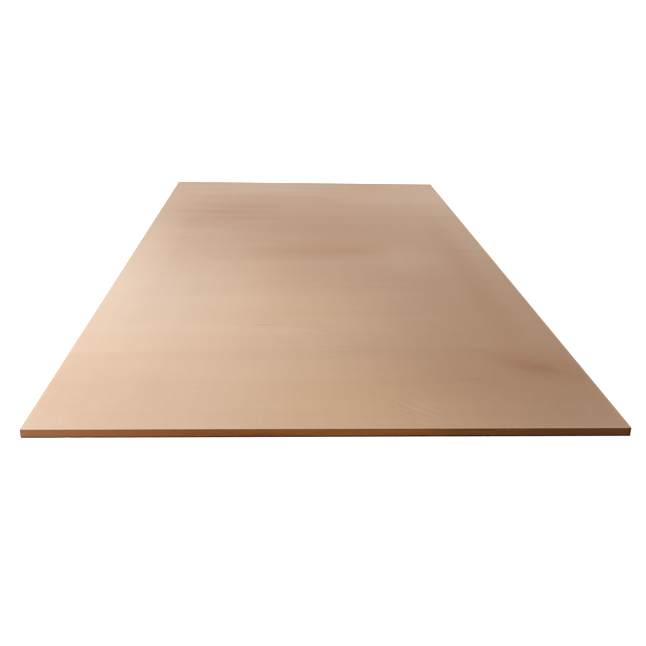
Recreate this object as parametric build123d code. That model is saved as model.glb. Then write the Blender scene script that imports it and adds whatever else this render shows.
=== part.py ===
from build123d import *

import os

# A sheet of medium density fibreboard, lying flat on its lower face.
# Sizes are in millimetres. X runs across the sheet, Y along it and Z up through its thickness.
# The origin is the centre of the lower face.

# Driving dimensions
sheet_width = 1220.0  # four feet
sheet_length = 2440.0  # eight feet
sheet_thickness = 19.0  # three quarters of an inch
corner_radius = 2.5  # the four upright corners, blunted by handling
arris_radius = 0.5  # the sawn arrises round both faces, eased by sanding


def sheet_plan():
    """Plan of the sheet: a rectangle with its four corners blunted."""
    return RectangleRounded(sheet_width, sheet_length, corner_radius)


def mdf_sheet():
    """The board, pressed and sawn as one piece: its plan through its thickness, both rims eased."""
    board = extrude(sheet_plan(), sheet_thickness)
    by_height = board.faces().sort_by(Axis.Z)
    rims = by_height[0].edges() + by_height[-1].edges()
    return fillet(rims, arris_radius)


os.makedirs("parts", exist_ok=True)
export_step(mdf_sheet(), "parts/mdf_sheet.step")
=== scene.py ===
"""Looks of a medium density fibreboard sheet that lies flat on its lower face.

All lengths are in metres, but for the bruises and marks, which are in millimetres. X runs across
the sheet, Y along it and Z up, and the origin is the centre of the lower face.
"""

import logging
import math
from dataclasses import dataclass, replace
from enum import Enum
from functools import cached_property

import bmesh
import bpy
import numpy as np
from mathutils import Matrix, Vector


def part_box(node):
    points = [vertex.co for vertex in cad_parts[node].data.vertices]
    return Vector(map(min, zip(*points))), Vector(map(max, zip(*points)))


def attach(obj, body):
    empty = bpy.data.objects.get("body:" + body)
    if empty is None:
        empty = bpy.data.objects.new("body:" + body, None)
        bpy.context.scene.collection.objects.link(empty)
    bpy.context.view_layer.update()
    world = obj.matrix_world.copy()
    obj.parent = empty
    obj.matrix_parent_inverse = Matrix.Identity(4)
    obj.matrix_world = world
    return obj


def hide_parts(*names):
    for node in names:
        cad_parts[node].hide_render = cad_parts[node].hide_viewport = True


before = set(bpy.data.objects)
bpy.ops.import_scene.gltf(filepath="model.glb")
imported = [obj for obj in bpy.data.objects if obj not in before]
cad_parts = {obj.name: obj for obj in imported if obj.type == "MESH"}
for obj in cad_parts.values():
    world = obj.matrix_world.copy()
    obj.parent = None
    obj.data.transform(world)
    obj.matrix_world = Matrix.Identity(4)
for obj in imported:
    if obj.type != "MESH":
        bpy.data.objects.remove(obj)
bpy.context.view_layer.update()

MM = 0.001  # metres in a millimetre
SHEET_NODE = "mdf_sheet"
SHEET_BODY = "root"
BAKE_MAP = "OFBake"  # name of the map that a texture is laid through

log = logging.getLogger("fibreboard")

Pair = tuple[float, float]
Triple = tuple[float, float, float]
Colour = Triple
Socket = bpy.types.NodeSocket
Value = Socket | float | Triple

WHITE: Colour = (1.0, 1.0, 1.0)


def swatch(red: int, green: int, blue: int) -> Colour:
    """Linear colour of a swatch: each channel c is ((c / 255 + 0.055) / 1.055) to the power 2.4."""
    return tuple(((c / 255 + 0.055) / 1.055) ** 2.4 for c in (red, green, blue))


class Side(Enum):
    """The four sawn edges, in the order in which the rim passes them, anticlockwise from above."""

    NEAR_END = 0
    RIGHT_EDGE = 1
    FAR_END = 2
    LEFT_EDGE = 3


class Arris(Enum):
    """Which of an edge's two long corners is meant."""

    UPPER = 1
    LOWER = -1


class Finish(Enum):
    """The material slots of the board, in their order."""

    SANDED_FACE = 0
    SAWN_EDGE = 1


@dataclass(frozen=True)
class Bruise:
    """A small knock on an arris, which crushes the fibres inwards. Its sizes are in millimetres.

    Attributes:
        side: Edge that it is on.
        place: Its distance from the middle of that edge, towards +X or +Y.
        arris: Arris that it is on.
        length: Distance along the edge over which it fades.
        height: Distance up or down the edge over which it fades.
        depth: How far its middle is pushed in.
    """

    side: Side
    place: float
    arris: Arris
    length: float
    height: float
    depth: float


@dataclass(frozen=True)
class Columns:
    """The columns of the rim, one value each, anticlockwise from the near left corner.

    Attributes:
        across: Share of the width at which the column starts, 0 to 1.
        along: Share of the length at which it starts, 0 to 1.
        turn: Direction in which it faces, in radians from +X.
        side: Number of the side that it belongs to.
    """

    across: np.ndarray
    along: np.ndarray
    turn: np.ndarray
    side: np.ndarray


@dataclass(frozen=True)
class MapLayout:
    """How the board's surface is laid out on its bake map, which is one unit square.

    Both faces stand side by side below, and the four edges are laid above them as three strips:
    one for each long edge, and one that the two ends share.

    Attributes:
        faces_height: Share of the map's height that the faces take.
        strip_height: Height of each strip.
        gutter: Bare distance round each island.
        strips: Strip of each side, counted upwards, in the order of the sides.
        starts: Share of its strip at which each side starts.
        shares: Share of its strip that each side takes.
    """

    faces_height: float = 0.86
    strip_height: float = 0.036
    gutter: float = 0.003
    strips: tuple[int, ...] = (2, 1, 2, 0)
    starts: tuple[float, ...] = (0.0, 0.0, 0.5, 0.0)
    shares: tuple[float, ...] = (0.5, 1.0, 0.5, 1.0)

    def face(self, across: np.ndarray, along: np.ndarray, column: int) -> np.ndarray:
        """Places face points on the map: across and along fill one of its two lower columns.

        Args:
            across: Share of the width, 0 to 1.
            along: Share of the length, 0 to 1.
            column: 0 for the left half of the map, 1 for the right half.

        Returns:
            Map places, with a last axis of two.
        """
        free = 1 - 2 * self.gutter
        u = (column + self.gutter * 2 + across * (1 - 4 * self.gutter)) / 2
        v = self.faces_height * (self.gutter + along * free)
        return np.stack([u, v], -1)

    def edge(self, side: np.ndarray, along: np.ndarray, down: np.ndarray) -> np.ndarray:
        """Places edge points on the map: long edges fill a strip each, and the ends halve the third.

        Args:
            side: Number of the side.
            along: Share of the side's run, 0 to 1.
            down: Share of the way from the upper face to the lower one, 0 to 1.

        Returns:
            Map places, with a last axis of two.
        """
        strip, left, share = (np.array(v)[side] for v in (self.strips, self.starts, self.shares))
        u = left + share * (self.gutter + along * (1 - 2 * self.gutter))
        pitch = (1 - self.faces_height) / len(set(self.strips))
        v = self.faces_height + pitch * strip + self.gutter + (1 - down) * self.strip_height
        return np.stack([u, v], -1)


@dataclass
class Board:
    """The pressed and sawn board, as one profile that is carried round its plan.

    The profile runs from the ridge of the plan, where its mitred sides meet, out over the upper
    face, down the edge and back under the lower face to the ridge.

    Attributes:
        width: Size along X.
        length: Size along Y.
        thickness: Size along Z.
        corner_radius: Radius of the four upright corners.
        arris_radius: Radius of the eased arrises.
        pitch: Distance between the columns of the mesh.
        fine_pitch: The same beside a bruise.
        fine_reach: How far the finer columns go either way, in lengths of the bruise.
        least_gap: Least distance between two columns, in fine pitches.
        corner_steps: Faces round an upright corner.
        arris_steps: Faces round an arris.
        face_steps: Rows from the ridge to the arris.
        edge_steps: Rows from an arris to the middle of the edge.
        rim_row: Distance of the edge's first row from the face, in arris radii.
        arris_kept: Rows of an arris that still have the face's finish.
        dubbing: How much the sander takes off each face at its very edge.
        dubbing_reach: Distance over which that fades.
        swell: Height of the faint swell of each face.
        swell_waves: Radians for each metre and phase of the swell, along X and along Y.
        saw_wander: How far the saw wandered from its line.
        saw_waves: Radians for each metre, weight and phase of each wave in the saw's line.
        weld: Distance within which points are merged.
        bruises: Knocks on the arrises.
        layout: How the surface is laid on the bake map.
    """

    width: float
    length: float
    thickness: float
    corner_radius: float = 2.5 * MM
    arris_radius: float = 0.5 * MM
    pitch: float = 8 * MM
    fine_pitch: float = 1.5 * MM
    fine_reach: float = 2.5
    least_gap: float = 0.4
    corner_steps: int = 8
    arris_steps: int = 5
    face_steps: int = 16
    edge_steps: int = 9
    rim_row: float = 1.6
    arris_kept: int = 2
    dubbing: float = 0.12 * MM
    dubbing_reach: float = 9 * MM
    swell: float = 0.08 * MM
    swell_waves: tuple[Pair, Pair] = ((8.3, 0.7), (5.9, 2.1))
    saw_wander: float = 0.15 * MM
    saw_waves: tuple[Triple, ...] = ((9.1, 1.0, 0.0), (23.7, 0.6, 1.3), (61.0, 0.4, 0.4))
    weld: float = 0.01 * MM
    bruises: tuple[Bruise, ...] = (
        Bruise(Side.NEAR_END, -519, Arris.LOWER, 7, 1.2, 0.6),
        Bruise(Side.NEAR_END, -479, Arris.LOWER, 9, 1.0, 0.4),
        Bruise(Side.NEAR_END, 196, Arris.UPPER, 5, 1.1, 0.5),
        Bruise(Side.RIGHT_EDGE, -742, Arris.LOWER, 8, 1.8, 1.0),
        Bruise(Side.RIGHT_EDGE, 385, Arris.UPPER, 6, 1.2, 0.6),
        Bruise(Side.FAR_END, 268, Arris.LOWER, 9, 1.5, 1.0),
        Bruise(Side.LEFT_EDGE, 610, Arris.UPPER, 5, 1.0, 0.5),
        Bruise(Side.LEFT_EDGE, -905, Arris.LOWER, 7, 1.6, 0.9),
    )
    layout: MapLayout = MapLayout()

    def stations(self, run: float, sides: tuple[Side, Side]) -> np.ndarray:
        """Shares of a side at which its columns stand.

        They are evenly spaced at about the pitch, with finer ones beside each bruise of the two
        sides that face each other, because these meet at the ridge.

        Args:
            run: Length of the side.
            sides: The two sides that share these stations.

        Returns:
            Shares from 0 to 1, in rising order.
        """
        even = np.linspace(0, 1, round(run / self.pitch) + 1)
        near = [bruise for bruise in self.bruises if bruise.side in sides]
        beside = [(b.place * MM, self.fine_reach * (b.length * MM)) for b in near]
        fine = [
            np.arange(-reach, reach, self.fine_pitch) / run + 0.5 + place / run for place, reach in beside
        ]
        found = np.sort(np.concatenate([even, *fine]))
        least = self.least_gap * self.fine_pitch / run
        apart = np.diff(found, prepend=-1) > least
        return found[(apart & (found < 1 - least)) | (found == 1)]

    def columns(self) -> Columns:
        """Columns of the mesh: four straight sides, and a quarter turn after each one.

        A side's columns all face one way while their start moves along it, and a corner's columns
        all start from one point while they turn by 90 degrees in equal steps.

        Returns:
            The columns, anticlockwise from the near left corner.
        """
        across = self.stations(self.width, (Side.NEAR_END, Side.FAR_END))
        along = self.stations(self.length, (Side.RIGHT_EDGE, Side.LEFT_EDGE))
        runs = {
            Side.NEAR_END: (across, 0 * across),
            Side.RIGHT_EDGE: (1 + 0 * along, along),
            Side.FAR_END: (across[::-1], 1 + 0 * across),
            Side.LEFT_EDGE: (0 * along, along[::-1]),
        }
        bend = np.linspace(0, math.pi / 2, self.corner_steps + 1)[1:-1]
        starts_x, starts_y, turns, sides = [], [], [], []
        for side, (x, y) in runs.items():
            facing = (side.value - 1) * math.pi / 2
            starts_x.append(np.concatenate([x, np.full(len(bend), x[-1])]))
            starts_y.append(np.concatenate([y, np.full(len(bend), y[-1])]))
            turns.append(np.concatenate([np.full(len(x), facing), facing + bend]))
            sides.append(np.full(len(x) + len(bend), side.value))
        return Columns(*map(np.concatenate, (starts_x, starts_y, turns, sides)))

    def section(self) -> tuple[np.ndarray, np.ndarray]:
        """Profile of the board, from the ridge over the edge and back to the ridge below.

        The rows of a face close up towards its arris in equal ratios, an arris is a quarter circle,
        and the rows of the edge are even but for one close to each arris. The lower half mirrors
        the upper one about the middle of the thickness.

        Returns:
            Each row's inset from the plan, and its height.
        """
        radius = self.arris_radius
        face = np.geomspace(self.width / 2, radius, self.face_steps + 1)
        quarter = np.linspace(0, math.pi / 2, self.arris_steps + 1)[1:]
        edge = np.linspace(radius, self.thickness / 2, self.edge_steps + 1)[1:]
        edge = np.insert(edge, 0, radius * self.rim_row)
        inset = np.concatenate([face, radius * (1 - np.sin(quarter)), 0 * edge])
        drop = np.concatenate([0 * face, radius * (1 - np.cos(quarter)), edge])
        return (
            np.concatenate([inset, inset[-2::-1]]),
            np.concatenate([self.thickness - drop, drop[-2::-1]]),
        )

    def plan(self, columns: Columns, inset: np.ndarray) -> tuple[np.ndarray, np.ndarray]:
        """Points of the plan, drawn in by each inset.

        A point is the column's start on a rectangle that is smaller than the plan by the corner
        radius, or by the inset if that is more, plus what is left of the radius in the direction
        that the column faces.

        Args:
            columns: The columns.
            inset: Distance from the plan's outline for each row.

        Returns:
            X and Y of each point, by row and column.
        """
        core = np.maximum(inset, self.corner_radius)[:, None]
        bend = np.maximum(self.corner_radius - inset, 0)[:, None]
        x = (2 * columns.across - 1) * (self.width / 2 - core) + bend * np.cos(columns.turn)
        y = (2 * columns.along - 1) * (self.length / 2 - core) + bend * np.sin(columns.turn)
        return x, y

    def carried(self, columns: Columns, inset: np.ndarray, height: np.ndarray) -> np.ndarray:
        """Carries the profile round the plan, with the edge where the saw left it.

        The saw cut inside its line by half the wander times one plus the weighted mean of slow
        sines of X + Y, so never outside it. That fades with the square of one minus the inset over
        the corner radius, and is nought beyond this radius, where the columns of a corner meet.

        Args:
            columns: The columns.
            inset: Each row's inset.
            height: Each row's height.

        Returns:
            The points, by row and column, with a last axis of three.
        """
        x, y = self.plan(columns, inset)
        line = np.add(*self.plan(columns, np.zeros(1)))
        waves = sum(weight * np.sin(line * rate + phase) for rate, weight, phase in self.saw_waves)
        whole = sum(weight for _, weight, _ in self.saw_waves)
        kept = (1 - inset / self.corner_radius).clip(0)[:, None] ** 2
        cut = self.saw_wander * (0.5 + waves / (2 * whole)) * kept
        x = x - cut * np.cos(columns.turn)
        y = y - cut * np.sin(columns.turn)
        return np.stack([x, y, np.repeat(height[:, None], x.shape[1], 1)], -1)

    def pressed(self, points: np.ndarray) -> np.ndarray:
        """Thins the board as its press and its sander leave it.

        A point keeps its share of the thickness. Each half of the thickness loses the dubbing times
        e to the power of minus the distance from the nearest edge over the dubbing's reach, and a
        faint swell, which is a half plus half the product of two slow sines of X and of Y.

        Args:
            points: Points, with a last axis of three.

        Returns:
            The points with their new heights.
        """
        x, y, z = np.moveaxis(points, -1, 0)
        inside = np.minimum(self.width / 2 - np.abs(x), self.length / 2 - np.abs(y)).clip(0)
        (rate_x, phase_x), (rate_y, phase_y) = self.swell_waves
        swell = self.swell * (0.5 + 0.5 * np.sin(x * rate_x + phase_x) * np.sin(y * rate_y + phase_y))
        taken = self.dubbing * np.exp(-inside / self.dubbing_reach) + swell
        middle = self.thickness / 2
        return np.stack([x, y, middle + (z - middle) * (1 - taken / middle)], -1)

    def knocked(self, points: np.ndarray) -> np.ndarray:
        """Pushes points in at each bruise, towards the heart of the board.

        The push is the bruise's depth times e to the power of minus the squares of the distances
        along the edge over its length, and up and into the board over its height. Up or down, a
        point moves half as far.

        Args:
            points: Points, with a last axis of three.

        Returns:
            The moved points.
        """
        moved = points.copy()
        for bruise in self.bruises:
            end = bruise.side in (Side.NEAR_END, Side.FAR_END)
            outer = 1 if bruise.side in (Side.RIGHT_EDGE, Side.FAR_END) else -1
            along, out, half = (0, 1, self.length / 2) if end else (1, 0, self.width / 2)
            level = self.thickness * (bruise.arris is Arris.UPPER)
            shift = (points[..., along] - bruise.place * MM) / (bruise.length * MM)
            inward = (half - outer * points[..., out]) / (bruise.height * MM)
            rise = (points[..., 2] - level) / (bruise.height * MM)
            push = bruise.depth * MM * np.exp(-(shift**2) - inward**2 - rise**2)
            moved[..., out] -= outer * push
            moved[..., 2] -= bruise.arris.value * push / 2
        return moved

    def slots(self, rows: int) -> np.ndarray:
        """Material slot of each band between two rows.

        Args:
            rows: Number of rows in the section.

        Returns:
            One slot number for each band.
        """
        kept = self.face_steps + self.arris_kept
        found = np.full(rows - 1, Finish.SAWN_EDGE.value)
        found[:kept] = found[-kept:] = Finish.SANDED_FACE.value
        return found

    def laid_out(
        self, columns: Columns, inset: np.ndarray, height: np.ndarray, points: np.ndarray
    ) -> np.ndarray:
        """Lays the surface on the bake map: each face as it lies, and the edges as strips.

        A strip's run is the distance along the outline from the side's first column, and its
        height is the distance down the profile from arris to arris, each as a share of its whole.

        Args:
            columns: The columns.
            inset: Inset of each row.
            height: Height of each row.
            points: The points, by row and column.

        Returns:
            Map places of the four corners of each quad, by row and column.
        """
        outline = points[len(inset) // 2, :, :2]
        step = np.linalg.norm(np.roll(outline, -1, 0) - outline, axis=1)
        start = np.cumsum(step) - step
        first = np.array([start[columns.side == s.value][0] for s in Side])
        whole = np.array([step[columns.side == s.value].sum() for s in Side])
        low = (start - first[columns.side]) / whole[columns.side]
        high = low + step / whole[columns.side]
        flat = self.face_steps
        fall = np.hypot(np.diff(inset), np.diff(height))
        fall[:flat] = fall[-flat:] = 0
        down = np.insert(np.cumsum(fall), 0, 0) / fall.sum()
        grid = (len(inset) - 1, len(low))
        side = np.broadcast_to(columns.side, grid)
        corners = [
            self.layout.edge(side, np.broadcast_to(along, grid), np.broadcast_to(d[:, None], grid))
            for along, d in ((low, down[:-1]), (low, down[1:]), (high, down[1:]), (high, down[:-1]))
        ]
        laid = np.stack(corners, 2)
        share = around(points[..., :2] / (self.width, self.length) + 0.5)
        laid[:flat] = self.layout.face(share[:flat, ..., 0], share[:flat, ..., 1], 0)
        laid[-flat:] = self.layout.face(1 - share[-flat:, ..., 0], share[-flat:, ..., 1], 1)
        return laid

    def build(self, name: str) -> bpy.types.Object:
        """Makes the board's mesh.

        Args:
            name: Name of the piece.

        Returns:
            The finished object, at the origin.
        """
        columns = self.columns()
        inset, height = self.section()
        points = self.carried(columns, inset, height)
        laid = self.laid_out(columns, inset, height, points)
        points = self.knocked(self.pressed(points))
        rows, count = points.shape[:2]
        quads = around(np.arange(rows * count).reshape(rows, count)).reshape(-1, 4)
        slots = np.repeat(self.slots(rows), count)
        mesh = bpy.data.meshes.new(name)
        mesh.from_pydata(points.reshape(-1, 3).tolist(), [], quads.tolist())
        mesh.polygons.foreach_set("material_index", slots.astype(np.int32))
        mesh.uv_layers.new(name=BAKE_MAP).uv.foreach_set("vector", laid.astype(np.float32).ravel())
        self.close(mesh)
        mesh.shade_smooth()
        return placed(name, mesh)

    def close(self, mesh: bpy.types.Mesh) -> None:
        """Merges the points that meet at the ridges and corners, so that the skin is one closed shell.

        Args:
            mesh: The mesh to close.
        """
        shell = bmesh.new()
        shell.from_mesh(mesh)
        bmesh.ops.remove_doubles(shell, verts=shell.verts, dist=self.weld)
        gaps = sum(not e.is_manifold for e in shell.edges)
        log.info("shell of %.6f cubic metres with %d open edges", shell.calc_volume(signed=True), gaps)
        shell.to_mesh(mesh)
        shell.free()


def placed(name: str, data: bpy.types.ID) -> bpy.types.Object:
    """Puts new data into the scene as an object.

    Args:
        name: Name of the object.
        data: Its mesh, light or camera data.

    Returns:
        The object.
    """
    made = bpy.data.objects.new(name, data)
    bpy.context.scene.collection.objects.link(made)
    return made


def around(grid: np.ndarray) -> np.ndarray:
    """Four corners of each cell of a grid that closes on itself, anticlockwise from outside."""
    after = np.roll(grid, -1, 1)
    return np.stack([grid[:-1], grid[1:], after[1:], after[:-1]], 2)


@dataclass(frozen=True)
class Grain:
    """A cloudy pattern, which is drawn out where it has few clouds for each metre.

    Attributes:
        per_metre: Clouds for each metre along X, Y and Z.
        detail: Number of finer layers over it.
        rough: Strength of each layer beside the one before.
        turn: Turn about Z in degrees.
        start: Point that becomes the pattern's origin.
    """

    per_metre: Triple
    detail: float = 2.0
    rough: float = 0.5
    turn: float = 0.0
    start: Triple = (0.0, 0.0, 0.0)


@dataclass(frozen=True)
class Polish:
    """How smooth and glossy a finish is.

    Attributes:
        rough: Its roughness at two values of a pattern.
        limits: Those two values.
        relief: Depth of its relief.
        gloss: How much it mirrors, where 0.5 is usual.
    """

    rough: Pair
    limits: Pair
    relief: float
    gloss: float


class Bench:
    """Lays out the nodes of one finish, or of the surround, and joins them up."""

    def __init__(self, owner: bpy.types.Material | bpy.types.World) -> None:
        """Clears the nodes.

        Args:
            owner: The new material or surround.
        """
        owner.use_nodes = True
        self.owner = owner
        self.tree = owner.node_tree
        self.tree.nodes.clear()

    @cached_property
    def place(self) -> Socket:
        """Place on the sheet, in metres from its origin."""
        return self.node("ShaderNodeTexCoord").outputs["Object"]

    def node(
        self, kind: str, inputs: dict[str | int, Value] | None = None, **settings: object
    ) -> bpy.types.Node:
        """Adds a node.

        Args:
            kind: Type of the node.
            inputs: Value, colour or socket for each input, by its name or number.
            settings: The node's own settings.

        Returns:
            The node.
        """
        made = self.tree.nodes.new(kind)
        for name, value in settings.items():
            setattr(made, name, value)
        for name, value in (inputs or {}).items():
            if isinstance(value, bpy.types.NodeSocket):
                self.tree.links.new(value, made.inputs[name])
            elif isinstance(value, tuple) and made.inputs[name].type == "RGBA":
                made.inputs[name].default_value = (*value, 1.0)
            else:
                made.inputs[name].default_value = value
        return made

    def stretched(self, per_metre: Triple, turn: float, start: Triple) -> Socket:
        """Object coordinates, first moved, then turned about Z and scaled.

        Args:
            per_metre: Units of the pattern for each metre along X, Y and Z.
            turn: Turn about Z in degrees.
            start: Point that becomes the pattern's origin.

        Returns:
            The pattern's coordinates.
        """
        back = tuple(-c for c in start)
        moved = self.node("ShaderNodeVectorMath", {0: self.place, 1: back}, operation="ADD")
        around_z = {"Vector": moved.outputs[0], "Angle": math.radians(-turn)}
        turned = self.node("ShaderNodeVectorRotate", around_z, rotation_type="Z_AXIS")
        inputs = {0: turned.outputs[0], 1: per_metre}
        return self.node("ShaderNodeVectorMath", inputs, operation="MULTIPLY").outputs[0]

    def grain(self, grain: Grain) -> Socket:
        """A grain's value, from 0 to 1 with a mean of a half.

        Args:
            grain: The grain.

        Returns:
            Its value.
        """
        where = self.stretched(grain.per_metre, grain.turn, grain.start)
        inputs = {"Vector": where, "Scale": 1.0, "Detail": grain.detail, "Roughness": grain.rough}
        return self.node("ShaderNodeTexNoise", inputs).outputs[0]

    def fade(self, value: Socket, limits: Pair, levels: Pair = (0.0, 1.0)) -> Socket:
        """Goes smoothly from one level to the other while a value crosses its limits.

        Args:
            value: The value.
            limits: Values at which the first level ends and the second one begins.
            levels: The two levels.

        Returns:
            The level.
        """
        names = ("Value", "From Min", "From Max", "To Min", "To Max")
        inputs = dict(zip(names, (value, *limits, *levels)))
        return self.node("ShaderNodeMapRange", inputs, interpolation_type="SMOOTHSTEP").outputs[0]

    def math(self, operation: str, first: Value, second: Value = 0.0, third: Value = 0.0) -> Socket:
        """One step of arithmetic on two or three values."""
        return self.node("ShaderNodeMath", {0: first, 1: second, 2: third}, operation=operation).outputs[0]

    def blended(self, parts: tuple[Socket, ...], shares: tuple[float, ...]) -> Socket:
        """A half, plus each pattern's share of how far it is from a half.

        Args:
            parts: The patterns.
            shares: Share of each one.

        Returns:
            The blend.
        """
        total = 0.5
        for part, share in zip(parts, shares):
            total = self.math("ADD", total, self.math("MULTIPLY_ADD", part, share, -share / 2))
        return total

    def mix(self, amount: Value, under: Value, over: Value) -> Socket:
        """Lays one colour over another by an amount from 0 to 1."""
        return self.node("ShaderNodeMix", {0: amount, 6: under, 7: over}, data_type="RGBA").outputs[2]

    def scaled(self, colour: Socket, amount: Value) -> Socket:
        """A colour with all three channels multiplied by one amount."""
        return self.node("ShaderNodeVectorMath", {0: colour, "Scale": amount}, operation="SCALE").outputs[0]

    def along(self, axis: str) -> Socket:
        """Place along one axis, by its letter."""
        return self.node("ShaderNodeSeparateXYZ", {0: self.place}).outputs[axis]

    def seen(self) -> Socket:
        """1 for what the camera, a mirror or glass sees, and 0 for light that falls on the sheet.

        Returns:
            The largest of the three kinds of ray.
        """
        rays = self.node("ShaderNodeLightPath").outputs
        shown = self.math("MAXIMUM", rays["Is Camera Ray"], rays["Is Glossy Ray"])
        return self.math("MAXIMUM", shown, rays["Is Transmission Ray"])

    def surface(self, colour: Socket, pattern: Socket, height: Socket, polish: Polish) -> bpy.types.Material:
        """Ends the finish in its shader.

        Args:
            colour: Colour of the surface.
            pattern: Pattern that its roughness follows.
            height: Height of its relief, 0 to 1.
            polish: How smooth and glossy it is.

        Returns:
            The material.
        """
        bump = self.node("ShaderNodeBump", {"Height": height, "Distance": polish.relief})
        inputs = {
            "Base Color": colour,
            "Roughness": self.fade(pattern, polish.limits, polish.rough),
            "Normal": bump.outputs[0],
            "Specular IOR Level": polish.gloss,
        }
        shader = self.node("ShaderNodeBsdfPrincipled", inputs)
        self.node("ShaderNodeOutputMaterial", {"Surface": shader.outputs[0]})
        return self.owner


@dataclass(frozen=True)
class Fleck:
    """Flecks, which are the crests of a grain.

    Attributes:
        grain: The grain.
        colour: Colour of the flecks.
        limits: Values of the grain at which a fleck begins and is full.
        strength: How much of its colour a full fleck lays on, 0 to 1.
    """

    grain: Grain
    colour: Colour
    limits: Pair
    strength: float

    def laid(self, bench: Bench, colour: Socket) -> Socket:
        """Lays the flecks over a colour, on the finish's bench."""
        amount = bench.fade(bench.grain(self.grain), self.limits, (0.0, self.strength))
        return bench.mix(amount, colour, self.colour)


def single_fibres(turn: float, colour: Colour) -> Fleck:
    """Single fibres, about 3 mm long, that all lie at one turn, in degrees, and have one colour."""
    return Fleck(Grain((330.0, 2100.0, 800.0), 1.0, turn=turn), colour, (0.60, 0.74), 0.30)


@dataclass(frozen=True)
class Streaks:
    """How a mark breaks up into streaks.

    Attributes:
        grain: Grain of the streaks, along the mark's own X and Y.
        limits: Values of the grain between which the mark goes from its thinnest to its fullest.
        levels: How much of the mark is left at its thinnest and at its fullest.
    """

    grain: Grain
    limits: Pair
    levels: Pair = (0.0, 1.0)


class MarkKind(Enum):
    """What a mark on the sheet is, by the streaks that it breaks up into."""

    CLOUD = Streaks(Grain((1.8, 15.0, 1.0), 3.0), (0.3, 0.7), (0.6, 1.4))
    SCUFF = Streaks(Grain((5.0, 80.0, 1.0), 3.0), (0.45, 0.65))
    HAZE = None


class Tone(Enum):
    """The colour towards which a mark turns the surface."""

    # SHADE darkens real clouds and smudges, and also gives the broad painted shade on the face
    SHADE = swatch(138, 83, 38)
    RUDDY = swatch(153, 100, 31)
    # PALE lightens real paler patches and scuffs, and also gives painted light on the face and the near end
    PALE = swatch(222, 201, 184)
    # painted sheen: a whitish tone that stands in for glossy reflection on the face
    PAINTED_SHEEN = swatch(219, 218, 208)
    HONEY = swatch(235, 180, 95)
    GRIME = swatch(112, 92, 76)
    # dark brown for scorched stretches and for painted shade on the edges
    SCORCH_AND_SHADE = swatch(58, 30, 14)


@dataclass(frozen=True)
class Mark:
    """A soft oval mark, as seen from above.

    Attributes:
        tone: Colour towards which it turns the surface.
        strength: How much of that colour it lays on at its middle, 0 to 1.
        at: Its middle along X and Y, in millimetres.
        reach: Half its size along its own X and Y, in millimetres.
        turn: Turn about Z in degrees.
        kind: What it is.
    """

    tone: Tone
    strength: float
    at: Pair
    reach: Pair
    turn: float = 0.0
    kind: MarkKind = MarkKind.HAZE

    def laid(self, bench: Bench, colour: Socket) -> Socket:
        """Lays the mark over a colour.

        It fades from its middle to its rim with the distance, once each half axis is scaled to one.

        Args:
            bench: Where the finish is made.
            colour: Colour under the mark.

        Returns:
            The colour with the mark on it.
        """
        middle = (self.at[0] * MM, self.at[1] * MM, 0.0)
        per_metre = (1 / (self.reach[0] * MM), 1 / (self.reach[1] * MM), 0.0)
        oval = bench.stretched(per_metre, self.turn, middle)
        far = bench.node("ShaderNodeVectorMath", {0: oval}, operation="LENGTH").outputs["Value"]
        amount = bench.fade(far, (1.0, 0.0))
        streaks = self.kind.value
        if streaks:
            grain = bench.grain(replace(streaks.grain, turn=self.turn, start=middle))
            amount = bench.math("MULTIPLY", amount, bench.fade(grain, streaks.limits, streaks.levels))
        return bench.mix(bench.math("MULTIPLY", amount, self.strength), colour, self.tone.value)


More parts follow.
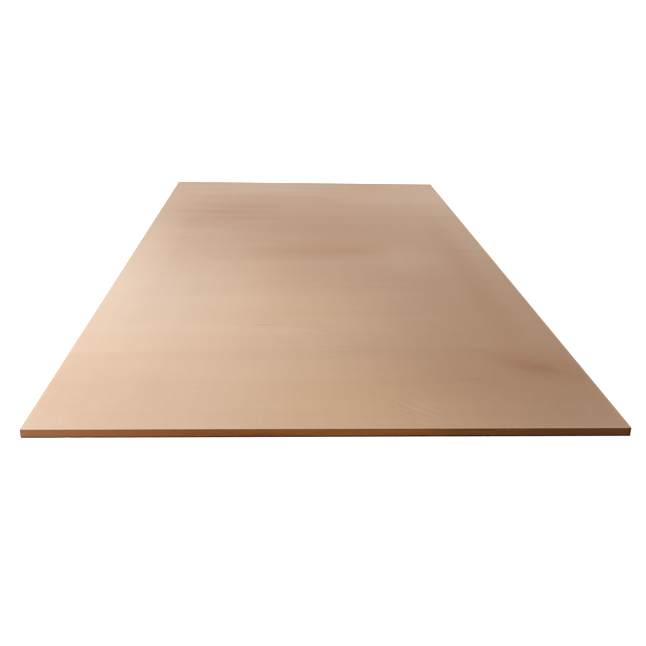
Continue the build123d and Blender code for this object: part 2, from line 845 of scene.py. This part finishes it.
@dataclass(frozen=True)
class FaceFinish:
    """The sanded face: pressed fibres, cut flat by a wide belt.

    Attributes:
        deep: Its darkest tone.
        pale: Its palest tone.
        bark: Colour of the flecks of bark.
        fluff: Colour of the pale fibres.
        clouds: Clouds in the mat of fibres.
        bands: Bands across the sheet, from the press.
        tone_shares: Shares of the clouds and the bands in the tone.
        drag: Stripes along the sheet, from the sander.
        belt: Fine scratches of its belt.
        felt: Felted fibres.
        shading: How much the drag, the belt and the felt darken and lighten the colour.
        flecks: Dark flecks of bark, and single fibres that lie every way.
        rough_shares: Shares of the clouds and the felt in its roughness.
        relief_shares: Shares of the belt and the felt in its relief.
        polish: How smooth and glossy it is.
        edge_strip: Width of the paler strip along the edges.
        edge_fluff: How much paler that strip is, 0 to 1.
        marked_above: Shares of the thickness between which the upper face's marks set in.
        marks: Marks from the press and from handling, with broad painted shade over the middle and the
            right, painted light along the left, and painted sheen at the near left and the far end, all on
            the upper face alone.
    """

    deep: Colour = swatch(174, 141, 116)
    pale: Colour = swatch(216, 187, 162)
    bark: Colour = swatch(104, 66, 38)
    fluff: Colour = swatch(232, 208, 180)
    clouds: Grain = Grain((3.1, 2.4, 70.0), 3.0)
    bands: Grain = Grain((1.1, 15.0, 70.0), turn=1.5)
    tone_shares: Pair = (0.5, 0.25)
    drag: Grain = Grain((45.0, 1.3, 30.0), 3.0)
    belt: Grain = Grain((520.0, 5.0, 30.0))
    felt: Grain = Grain((300.0, 260.0, 300.0), 4.0, 0.65)
    shading: Triple = (0.05, 0.06, 0.18)
    flecks: tuple[Fleck, ...] = (
        Fleck(Grain((900.0, 750.0, 800.0), 1.0, turn=20.0), bark, (0.70, 0.80), 0.40),
        single_fibres(24.0, fluff),
        single_fibres(53.0, deep),
        single_fibres(81.0, fluff),
        single_fibres(142.0, fluff),
    )
    rough_shares: Pair = (0.6, 0.4)
    relief_shares: Pair = (0.4, 0.6)
    polish: Polish = Polish((0.59, 0.71), (0.35, 0.65), relief=0.04 * MM, gloss=0.12)
    edge_strip: float = 10 * MM
    edge_fluff: float = 0.15
    marked_above: Pair = (0.4, 0.6)
    marks: tuple[Mark, ...] = (
        # painted shade: a broad darkening over the middle of the face
        Mark(Tone.SHADE, 0.37, (40, 320), (860, 970)),
        Mark(Tone.SHADE, 0.23, (-360, 640), (470, 370), kind=MarkKind.CLOUD),
        Mark(Tone.GRIME, 0.09, (-400, 480), (270, 200)),
        Mark(Tone.SHADE, 0.20, (-60, 1130), (820, 490), kind=MarkKind.CLOUD),
        # painted shade: broad darkening over the right of the face, from the near end to the middle
        Mark(Tone.SHADE, 0.41, (510, -1070), (900, 580)),
        Mark(Tone.SHADE, 0.42, (480, -540), (810, 970)),
        Mark(Tone.RUDDY, 0.19, (30, 60), (340, 140), 4.5, kind=MarkKind.CLOUD),
        Mark(Tone.SHADE, 0.26, (505, -915), (170, 120), -25.0, kind=MarkKind.CLOUD),
        Mark(Tone.SHADE, 0.20, (510, -925), (85, 45), -15.0),
        Mark(Tone.SHADE, 0.12, (435, -865), (140, 45), -22.0),
        Mark(Tone.HONEY, 0.11, (50, -1140), (430, 340)),
        Mark(Tone.HONEY, 0.06, (-110, -560), (420, 620)),
        # painted sheen at the near left corner
        Mark(Tone.PAINTED_SHEEN, 0.14, (-640, -1240), (230, 260)),
        Mark(Tone.PALE, 0.09, (310, -40), (150, 260)),
        Mark(Tone.HONEY, 0.03, (300, -20), (190, 200)),
        # painted sheen over the near left of the face
        Mark(Tone.PAINTED_SHEEN, 0.17, (-680, -440), (720, 700)),
        # painted light: a paler strip along the left of the face
        Mark(Tone.PALE, 0.26, (-580, -50), (130, 1100)),
        Mark(Tone.PALE, 0.20, (670, 930), (880, 460)),
        # painted sheen along the far end
        Mark(Tone.PAINTED_SHEEN, 0.18, (-110, 1090), (460, 240)),
        Mark(Tone.SHADE, 0.14, (490, -190), (80, 1100)),
        Mark(Tone.GRIME, 0.15, (-160, -650), (170, 60), -5.0, kind=MarkKind.SCUFF),
        Mark(Tone.GRIME, 0.13, (-5, -685), (170, 75), -20.0, kind=MarkKind.SCUFF),
        Mark(Tone.GRIME, 0.11, (60, -800), (190, 110), -4.0, kind=MarkKind.SCUFF),
        Mark(Tone.PALE, 0.15, (-130, -690), (190, 80), -7.0, kind=MarkKind.SCUFF),
        Mark(Tone.GRIME, 0.17, (155, -1110), (130, 90), -42.0, kind=MarkKind.SCUFF),
        Mark(Tone.PALE, 0.18, (175, -1125), (120, 80), -40.0, kind=MarkKind.SCUFF),
        Mark(Tone.GRIME, 0.12, (310, -985), (130, 120), 3.0, kind=MarkKind.SCUFF),
    )

    def build(self, size: np.ndarray) -> bpy.types.Material:
        """Makes the finish.

        Args:
            size: Width, length and thickness of the sheet.

        Returns:
            The material.
        """
        bench = Bench(bpy.data.materials.new("sanded_face"))
        clouds, bands, drag, belt, felt = (
            bench.grain(g) for g in (self.clouds, self.bands, self.drag, self.belt, self.felt)
        )
        tone = bench.blended((clouds, bands), self.tone_shares)
        colour = self.marked(bench, bench.mix(tone, self.deep, self.pale), size[2])
        for part, share in zip((drag, belt, felt), self.shading):
            colour = bench.scaled(colour, bench.math("MULTIPLY_ADD", part, share, 1 - share / 2))
        for fleck in self.flecks:
            colour = fleck.laid(bench, colour)
        colour = self.worn(bench, colour, size)
        pattern = bench.blended((clouds, felt), self.rough_shares)
        height = bench.blended((belt, felt), self.relief_shares)
        return bench.surface(colour, pattern, height, self.polish)

    def marked(self, bench: Bench, colour: Socket, thickness: float) -> Socket:
        """Lays the marks over a colour, on the upper face alone.

        Args:
            bench: Where the finish is made.
            colour: Colour under the marks.
            thickness: Thickness of the sheet.

        Returns:
            The colour with the marks on it.
        """
        over = colour
        for mark in self.marks:
            over = mark.laid(bench, over)
        start, end = (share * thickness for share in self.marked_above)
        return bench.mix(bench.fade(bench.along("Z"), (start, end)), colour, over)

    def worn(self, bench: Bench, colour: Socket, size: np.ndarray) -> Socket:
        """Lays the paler strip along the edges over a colour.

        Its strength falls with the distance from the nearest edge.

        Args:
            bench: Where the finish is made.
            colour: Colour under the strip.
            size: Width, length and thickness of the sheet.

        Returns:
            The colour with the strip on it.
        """
        beside = [
            bench.math("SUBTRACT", whole / 2, bench.math("ABSOLUTE", bench.along(axis)))
            for axis, whole in zip("XY", size)
        ]
        amount = bench.fade(bench.math("MINIMUM", *beside), (self.edge_strip, 0.0), (0.0, self.edge_fluff))
        return bench.mix(amount, colour, self.fluff)


@dataclass(frozen=True)
class PaintedContactShadow:
    """Painted contact shadow along the lower arris, which turns black towards the right.

    Attributes:
        colours: Its colours at the left, in the middle and at the right, seen from the near end.
        turns: Places along X between which it goes on to its second and to its third colour.
        height: Its usual height.
        waver: Grain by which that height goes up and down.
        rim: Share of the height above which it fades out.
        strengthens: Places along X between which it grows stronger.
        strength: How much of its colour it lays on at those two places, 0 to 1.
    """

    colours: tuple[Colour, ...] = (swatch(96, 40, 8), swatch(84, 24, 5), swatch(12, 6, 3))
    turns: tuple[Pair, Pair] = ((-0.5, -0.2), (0.0, 0.2))
    height: float = 3.8 * MM
    waver: Grain = Grain((17.0, 17.0, 1.0))
    rim: float = 0.8
    strengthens: Pair = (-0.65, 0.0)
    strength: Pair = (0.5, 0.98)

    def laid(self, bench: Bench, colour: Socket) -> Socket:
        """Lays the painted shadow over a colour.

        Its upper limit is its height times three quarters plus half of the waver, so it goes up
        and down by a quarter.

        Args:
            bench: Where the finish is made.
            colour: Colour under the painted shadow.

        Returns:
            The colour with the painted shadow on it.
        """
        along = bench.along("X")
        shadow_tone = self.colours[0]
        for turn, after in zip(self.turns, self.colours[1:]):
            shadow_tone = bench.mix(bench.fade(along, turn), shadow_tone, after)
        limit = bench.math("MULTIPLY_ADD", bench.grain(self.waver), self.height / 2, self.height * 3 / 4)
        rise = bench.math("DIVIDE", bench.along("Z"), limit)
        kept = bench.fade(rise, (1.0, self.rim))
        strength = bench.fade(along, self.strengthens, self.strength)
        return bench.mix(bench.math("MULTIPLY", kept, strength), colour, shadow_tone)


@dataclass(frozen=True)
class EdgeFinish:
    """The sawn edge: layers of fibre cut across, dense and dark near the faces, looser in the core.

    Attributes:
        deep: Its darkest tone.
        pale: Its palest tone.
        scorched: Colour where the blade rubbed.
        fluff: Colour of the raised fibres.
        layers: Layers of the mat, which lie flat.
        teeth: Marks of the saw's teeth, which stand upright.
        fibre: Ends of the fibres.
        drift: Slow changes of tone along the edge.
        seams: Long seams between layers.
        tone_shares: Shares of these five in the tone.
        skin_start: Share of half the thickness at which the dense skins begin.
        skin_depth: How much darker the skins are.
        burn: Stretches where the blade rubbed.
        hair: Raised fibres.
        raised_height: Height of the fluffy rim under the upper face.
        raised: How fluffy that rim is, 0 to 1.
        contact_shadow: Painted contact shadow along the lower arris.
        relief_shares: Shares of the teeth, the fibre and the layers in its relief.
        polish: How smooth and glossy it is, which follows the layers.
        marks: Darker and paler stretches, among them painted light at the left end of the near end, and
            painted shade towards its right end and on the near right corner.
    """

    deep: Colour = swatch(133, 78, 34)
    pale: Colour = swatch(188, 119, 64)
    scorched: Colour = swatch(110, 52, 22)
    fluff: Colour = swatch(196, 150, 104)
    layers: Grain = Grain((24.0, 24.0, 1500.0), 3.0, 0.6)
    teeth: Grain = Grain((420.0, 420.0, 22.0))
    fibre: Grain = Grain((700.0, 700.0, 2300.0), 2.0, 0.6)
    drift: Grain = Grain((3.2, 3.2, 3.0))
    seams: Grain = Grain((5.0, 5.0, 240.0), 1.0)
    tone_shares: tuple[float, ...] = (0.5, 0.25, 0.45, 0.5, 0.4)
    skin_start: float = 0.5
    skin_depth: float = 0.3
    burn: Fleck = Fleck(Grain((5.0, 5.0, 60.0), start=(0.3, 0.1, 0.0)), scorched, (0.55, 0.72), 0.35)
    hair: Fleck = Fleck(Grain((600.0, 600.0, 4200.0), 3.0, 0.6), fluff, (0.52, 0.72), 0.3)
    raised_height: float = 0.7 * MM
    raised: float = 0.3
    # painted contact shadow along the lower arris, darkest towards the right
    contact_shadow: PaintedContactShadow = PaintedContactShadow()
    relief_shares: Triple = (0.45, 0.35, 0.2)
    polish: Polish = Polish((0.88, 0.72), (0.3, 0.7), relief=0.15 * MM, gloss=0.05)
    marks: tuple[Mark, ...] = (
        # painted light at the left end of the near end
        Mark(Tone.PALE, 0.09, (-640, -1220), (420, 60)),
        Mark(Tone.SCORCH_AND_SHADE, 0.22, (-210, -1220), (200, 60)),
        # painted shade that deepens towards the right end of the near end
        Mark(Tone.SCORCH_AND_SHADE, 0.60, (620, -1220), (800, 60)),
        Mark(Tone.SCORCH_AND_SHADE, 0.30, (-620, 1220), (480, 60)),
        # painted shadow on the near right upright corner
        Mark(Tone.SCORCH_AND_SHADE, 0.95, (609, -1220), (7, 7)),
        Mark(Tone.PALE, 0.06, (240, 1220), (700, 60)),
        Mark(Tone.PALE, 0.14, (-610, -350), (50, 1300)),
    )

    def build(self, size: np.ndarray) -> bpy.types.Material:
        """Makes the finish.

        Args:
            size: Width, length and thickness of the sheet.

        Returns:
            The material.
        """
        bench = Bench(bpy.data.materials.new("sawn_edge"))
        level = bench.along("Z")
        layers, teeth, fibre, drift, seams = (
            bench.grain(g) for g in (self.layers, self.teeth, self.fibre, self.drift, self.seams)
        )
        tone = bench.blended((layers, teeth, fibre, drift, seams), self.tone_shares)
        tone = bench.math("SUBTRACT", tone, self.skins(bench, level, size[2] / 2))
        colour = bench.mix(tone, self.deep, self.pale)
        for coat in (self.burn, *self.marks, self.hair, self.contact_shadow):
            colour = coat.laid(bench, colour)
        raised = bench.fade(level, (size[2] - self.raised_height, size[2]), (0.0, self.raised))
        colour = bench.mix(raised, colour, self.fluff)
        height = bench.blended((teeth, fibre, layers), self.relief_shares)
        return bench.surface(colour, layers, height, self.polish)

    def skins(self, bench: Bench, level: Socket, half: float) -> Socket:
        """How much darker the dense skins are, at a level of a board of half this thickness."""
        core = bench.math("ABSOLUTE", bench.math("SUBTRACT", level, half))
        return bench.fade(core, (self.skin_start * half, half), (0.0, self.skin_depth))


@dataclass
class Sheet:
    """The whole sheet: its board and the two finishes on it.

    Attributes:
        name: Name of the piece.
        finishes: Its finishes, in the order of the slots.
    """

    name: str = "mdf_board"
    finishes: tuple[FaceFinish, EdgeFinish] = (FaceFinish(), EdgeFinish())

    def build(self) -> bpy.types.Object:
        """Makes the board in the place of its plain solid, and dresses it.

        Returns:
            The finished piece.
        """
        low, high = (np.array(corner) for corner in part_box(SHEET_NODE))
        size = high - low
        piece = Board(*size).build(self.name)
        for finish in self.finishes:
            piece.data.materials.append(finish.build(size))
        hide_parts(SHEET_NODE)
        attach(piece, SHEET_BODY)
        return piece


@dataclass(frozen=True)
class Lamp:
    """A soft rectangular lamp.

    Attributes:
        name: Its name.
        at: Its middle.
        aim: Point that it faces.
        size: Its width and height.
        power: Its power in watts.
    """

    name: str
    at: Triple
    aim: Triple
    size: Pair
    power: float

    def build(self) -> None:
        """Hangs the lamp."""
        light = bpy.data.lights.new(self.name, "AREA")
        light.shape = "RECTANGLE"
        light.size, light.size_y = self.size
        light.energy = self.power
        lamp = placed(self.name, light)
        lamp.matrix_world = looking(self.at, np.subtract(self.aim, self.at))
        lamp.visible_camera = False


def looking(at: Triple, towards: np.ndarray, roll: float = 0.0) -> Matrix:
    """Matrix of something that looks along its own -Z.

    Its X is level, square to the view, then turned about the view by the roll.

    Args:
        at: Where it stands.
        towards: Direction in which it looks.
        roll: Turn about the view, in degrees, which lifts its right-hand side.

    Returns:
        The matrix.
    """
    back = -towards / np.linalg.norm(towards)
    right = np.cross((0.0, 0.0, 1.0), back)
    right /= np.linalg.norm(right)
    up = np.cross(back, right)
    lean = math.radians(roll)
    tilted = math.cos(lean) * right + math.sin(lean) * up
    matrix = np.eye(4)
    matrix[:3] = np.stack([tilted, np.cross(back, tilted), back, at], 1)
    return Matrix(matrix.tolist())


@dataclass(frozen=True)
class Camera:
    """The camera, where the sheet's outline shows that it stood.

    Attributes:
        at: Its place.
        tilt: How far it looks down, in degrees.
        swing: How far it looks to the right of +Y, in degrees.
        roll: How far its right-hand side is lifted, in degrees.
        lens: Focal length in millimetres.
        sensor: Width of its sensor in millimetres.
    """

    at: Triple = (-0.0874, -2.6117, 0.7892)
    tilt: float = 21.346
    swing: float = 2.777
    roll: float = 1.188
    lens: float = 44.287
    sensor: float = 36.0

    def build(self) -> None:
        """Sets the camera up and makes it the scene's."""
        data = bpy.data.cameras.new("camera")
        data.lens = self.lens
        data.sensor_width = self.sensor
        tilt, swing = math.radians(self.tilt), math.radians(self.swing)
        towards = np.array(
            [math.cos(tilt) * math.sin(swing), math.cos(tilt) * math.cos(swing), -math.sin(tilt)]
        )
        camera = placed("camera", data)
        camera.matrix_world = looking(self.at, towards, self.roll)
        bpy.context.scene.camera = camera


@dataclass(frozen=True)
class Studio:
    """The plain pale room: a floor, a white surround and soft lamps.

    Attributes:
        floor_reach: Half the size of the floor.
        floor_drop: How far the floor lies below the sheet.
        floor_colour: Colour of the floor.
        floor_rough: Its roughness.
        floor_lift: Light that the floor gives off towards the camera and in mirrors.
        surround: Strength of the surround's light on the sheet.
        lamps: The lamps.
    """

    floor_reach: float = 14.0
    floor_drop: float = 0.05 * MM
    floor_colour: Colour = (0.8, 0.8, 0.8)
    floor_rough: float = 0.9
    floor_lift: float = 0.8
    surround: float = 0.4
    lamps: tuple[Lamp, ...] = (
        Lamp("back_left_softbox", (-1.48, 3.42, 2.92), (0.0, 0.0, 0.0), (0.71, 3.41), 79.2),
        Lamp("side_softbox", (-1.87, -1.2, 1.21), (0.0, -1.2, 0.0), (1.68, 0.99), 41.6),
        Lamp("top_softbox", (0.28, 1.68, 3.47), (0.0, 0.0, 0.0), (0.65, 2.69), 22.2),
    )

    def build(self) -> None:
        """Lays the floor, hangs the lamps and sets the surround."""
        self.lay_floor()
        self.set_surround()
        for lamp in self.lamps:
            lamp.build()
        bpy.context.scene.view_settings.view_transform = "Standard"

    def lay_floor(self) -> None:
        """Lays the floor, which keeps the sheet's shadow and otherwise shows white."""
        reach = self.floor_reach
        corners = [(-reach, -reach), (reach, -reach), (reach, reach), (-reach, reach)]
        mesh = bpy.data.meshes.new("floor")
        mesh.from_pydata([(x, y, -self.floor_drop) for x, y in corners], [], [(0, 1, 2, 3)])
        bench = Bench(bpy.data.materials.new("pale_floor"))
        inputs = {
            "Base Color": self.floor_colour,
            "Roughness": self.floor_rough,
            "Specular IOR Level": 0.0,
            "Emission Color": WHITE,
            "Emission Strength": bench.math("MULTIPLY", bench.seen(), self.floor_lift),
        }
        shader = bench.node("ShaderNodeBsdfPrincipled", inputs)
        bench.node("ShaderNodeOutputMaterial", {"Surface": shader.outputs[0]})
        mesh.materials.append(bench.owner)
        placed("floor", mesh)

    def set_surround(self) -> None:
        """Sets the surround: white to the camera and in mirrors, and dimmer as a light."""
        bench = Bench(bpy.data.worlds.new("surround"))
        inputs = {"Value": bench.seen(), "To Min": self.surround, "To Max": 1.0}
        strength = bench.node("ShaderNodeMapRange", inputs).outputs[0]
        light = bench.node("ShaderNodeBackground", {"Color": WHITE, "Strength": strength})
        bench.node("ShaderNodeOutputWorld", {"Surface": light.outputs[0]})
        bpy.context.scene.world = bench.owner


def report(piece: bpy.types.Object) -> None:
    """Logs a piece's name, its triangles and its box.

    Args:
        piece: The piece.
    """
    triangles = sum(len(p.vertices) - 2 for p in piece.data.polygons)
    low, high = (np.round(np.array(c), 6).tolist() for c in (piece.bound_box[0], piece.bound_box[6]))
    log.info("%s: %d triangles, from %s to %s", piece.name, triangles, low, high)


def main() -> None:
    """Builds the camera, the studio and the sheet, and reports each piece."""
    logging.basicConfig(level=logging.INFO, format="%(name)s: %(message)s")
    Camera().build()
    Studio().build()
    report(Sheet().build())


if __name__ == "__main__":
    main()
